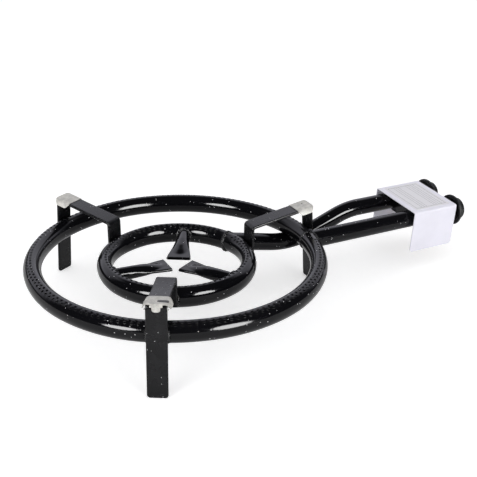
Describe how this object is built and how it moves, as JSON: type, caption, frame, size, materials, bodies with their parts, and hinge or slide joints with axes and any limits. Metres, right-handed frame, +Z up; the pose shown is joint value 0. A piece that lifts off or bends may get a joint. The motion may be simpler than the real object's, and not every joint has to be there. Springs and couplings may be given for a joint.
{
  "type": "paella burner",
  "caption": "Gas paella burner with concentric ring tubes, bent pan supports, centre jets, feed tubes, tap bracket and push-and-turn knobs.",
  "frame": {"origin": "on the floor under the rings' common axis, midway between the three feet", "axes": "+X along the feed tubes towards the taps and knobs, +Z up"},
  "size_m": [0.661, 0.3998, 0.1188],
  "materials": {
    "enamel": "gloss black enamel",
    "clip_steel": "matt",
    "white_paint": "satin",
    "label": "satin",
    "brass": "machined",
    "zinc": "plated",
    "spring_steel": "bright",
    "knob_plastic": "semi-gloss"
  },
  "bodies": {
    "burner": {"outer_ring": "enamel", "inner_ring": "enamel", "outer_feed_tube": "enamel", "inner_feed_tube": "enamel", "centre_jet_1": "enamel", "centre_jet_2": "enamel", "centre_jet_3": "enamel", "jet_weld_beads": "enamel", "support_bar_1": "enamel", "support_bar_2": "enamel", "support_bar_3": "enamel", "pan_clip_1": "clip_steel", "pan_clip_2": "clip_steel", "pan_clip_3": "clip_steel", "support_weld_beads": "enamel", "tap_bracket": "white_paint", "label_plate": "label", "tube_plate": "enamel", "gas_manifold": "brass", "hose_nozzle": "brass", "nozzle_washer": "zinc", "outer_tap_body": "brass", "outer_injector": "brass", "outer_bonnet_nut": "zinc", "inner_tap_body": "brass", "inner_injector": "brass", "inner_bonnet_nut": "zinc"},
    "outer_plug": {"outer_tap_plug": "brass", "outer_return_spring": "spring_steel"},
    "outer_knob": {"outer_tap_stem": "brass", "outer_knob": "knob_plastic"},
    "inner_plug": {"inner_tap_plug": "brass", "inner_return_spring": "spring_steel"},
    "inner_knob": {"inner_tap_stem": "brass", "inner_knob": "knob_plastic"}
  },
  "joints": [
    {"name": "outer_tap_turn", "type": "hinge", "parent": "burner", "child": "outer_plug", "pos_m": [0.434, -0.028, 0.075], "axis": [1, 0, 0], "range_deg": [0, 180]},
    {"name": "outer_knob_push", "type": "slide", "parent": "outer_plug", "child": "outer_knob", "axis": [-1, 0, 0], "range_m": [0, 0.0025], "stiffness_N_per_m": 1500, "deforming": ["outer_return_spring"]},
    {"name": "inner_tap_turn", "type": "hinge", "parent": "burner", "child": "inner_plug", "pos_m": [0.434, 0.034, 0.07879], "axis": [1, 0, 0], "range_deg": [0, 180]},
    {"name": "inner_knob_push", "type": "slide", "parent": "inner_plug", "child": "inner_knob", "axis": [-1, 0, 0], "range_m": [0, 0.0025], "stiffness_N_per_m": 1500, "deforming": ["inner_return_spring"]}
  ]
}
